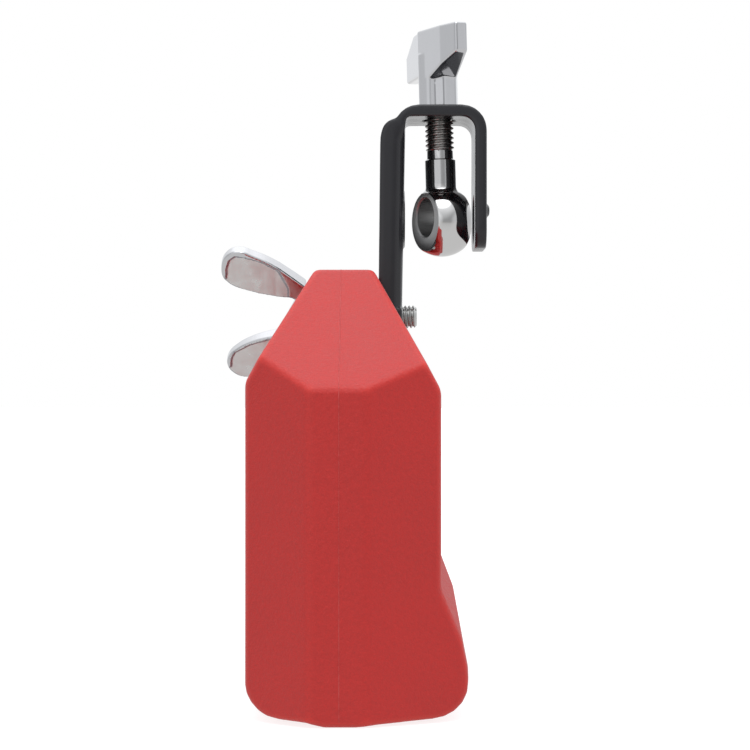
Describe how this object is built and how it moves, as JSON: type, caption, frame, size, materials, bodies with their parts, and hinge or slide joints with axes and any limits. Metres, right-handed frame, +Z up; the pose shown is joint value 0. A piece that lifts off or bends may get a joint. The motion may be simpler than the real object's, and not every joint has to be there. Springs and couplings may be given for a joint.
{
  "type": "cowbell",
  "caption": "Hollow plastic block cowbell with a sound slot in its side and a bent steel rod clamp: eye bolt, wing nut and wing bolt.",
  "frame": {"origin": "on the flat bottom, at the mould's parting plane and the middle of the length", "axes": "+Z up, Y along the block's length, +X towards the striking lip and the bracket"},
  "size_m": [0.0686, 0.17, 0.1687],
  "materials": {
    "red_plastic": "fine moulded grain",
    "black_paint": "semi-gloss black powder coat",
    "chrome": "bright chrome plate over smooth casting",
    "bright_steel": "zinc bright steel"
  },
  "bodies": {
    "block": {"resonator_block": "red_plastic", "spacer_sleeve": "bright_steel"},
    "bracket": {"mounting_bracket": "black_paint", "captive_nut": "bright_steel"},
    "clamp_washer": {"wing_bolt_washer": "bright_steel"},
    "wing_bolt": {"wing_bolt_head": "chrome", "wing_bolt_stud": "bright_steel"},
    "eye_bolt": {"eye_bolt_stud": "chrome"},
    "eye": {"eye_bolt_ball": "chrome"},
    "wing_nut": {"wing_nut": "chrome"}
  },
  "joints": [
    {"name": "bracket_swivel", "type": "hinge", "parent": "block", "child": "bracket", "pos_m": [0, 0, 0.0943], "axis": [1, 0, 0], "range_deg": [-30, 30]},
    {"name": "wing_bolt_travel", "type": "slide", "parent": "bracket", "child": "clamp_washer", "axis": [-1, 0, 0], "range_m": [0, 0.00301]},
    {"name": "wing_bolt_turn", "type": "hinge", "parent": "clamp_washer", "child": "wing_bolt", "pos_m": [-0.0091, 0, 0.0943], "axis": [-1, 0, 0], "range_deg": [0, 1080]},
    {"name": "nut_turn", "type": "hinge", "parent": "bracket", "child": "wing_nut", "pos_m": [0.02495, 0, 0.1484], "axis": [0.0262, 0, -0.9997], "range_deg": [-720, 2160]},
    {"name": "eye_lift", "type": "slide", "parent": "bracket", "child": "eye_bolt", "axis": [-0.0262, 0, 0.9997], "range_m": [-0.00251, 0.00751]},
    {"name": "eye_turn", "type": "hinge", "parent": "eye_bolt", "child": "eye", "pos_m": [0.0257, 0, 0.12], "axis": [-0.0262, 0, 0.9997], "range_deg": [-55, 3]}
  ],
  "couplings": [
    {"joint": "wing_bolt_travel", "follows": "wing_bolt_turn", "m_per_rad": 0.00015915},
    {"joint": "eye_lift", "follows": "nut_turn", "m_per_rad": 0.00019894}
  ]
}
